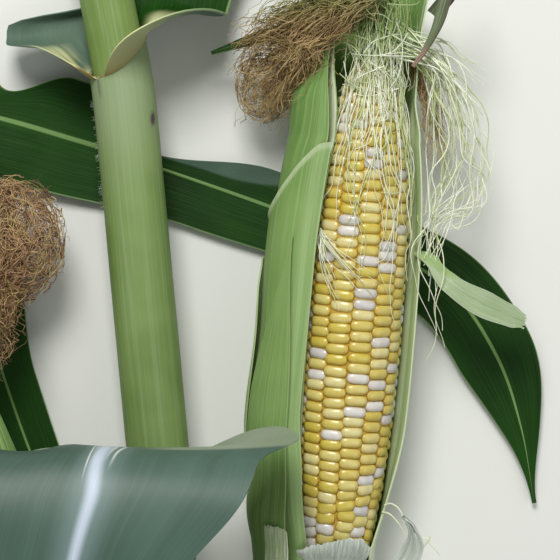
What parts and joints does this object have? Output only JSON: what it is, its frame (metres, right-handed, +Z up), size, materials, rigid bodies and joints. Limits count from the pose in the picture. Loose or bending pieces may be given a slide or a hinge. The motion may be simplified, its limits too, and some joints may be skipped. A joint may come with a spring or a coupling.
{
  "type": "maize stalk cutting with ears",
  "caption": "Cut length of a maize plant lying down: leafy stalk, an ear opened to show yellow and white kernels with silk, and a closed ear.",
  "frame": {"origin": "middle of the outline, on the level ground the cutting lies on", "axes": "+Y along the stalk towards its upper cut, +Z up, away from the ground; the open ear faces +Z at the +X side"},
  "size_m": [0.3748, 0.7144, 0.1082],
  "materials": {
    "culm": "fresh green stem, faintly waxy",
    "sheath": "ribbed fresh leaf sheath, matt",
    "blade": "leaf blade with a pale midrib, satin",
    "husk": "veined pale green husk, matt",
    "torn_husk": "whitish inner husk, matt",
    "kernel": "glossy sweet corn kernels, yellow and white",
    "silk": "fine pale green strands",
    "dry_silk": "dry curled brown strands"
  },
  "bodies": {
    "root": {"culm": "culm", "sheath_top": "sheath", "sheath_upper": "sheath", "sheath_middle": "sheath", "sheath_lower": "sheath", "blade_upper_base": "blade", "blade_upper_tip": "blade", "blade_middle_base": "blade", "blade_middle_tip": "blade", "blade_lower_base": "blade", "blade_lower_tip": "blade", "ear_shank": "culm", "ear_kernels": "kernel", "husk_back": "husk", "husk_tall": "husk", "husk_front": "husk", "husk_point": "husk", "husk_side": "husk", "husk_flap": "torn_husk", "husk_tip_left": "husk", "husk_tip_right": "husk", "husk_stub_1": "torn_husk", "husk_stub_2": "torn_husk", "husk_stub_3": "torn_husk", "silk_front": "silk", "silk_side": "silk", "silk_dry": "dry_silk", "second_shank": "culm", "second_ear": "husk", "second_husk": "husk", "second_silk": "dry_silk"}
  },
  "joints": []
}
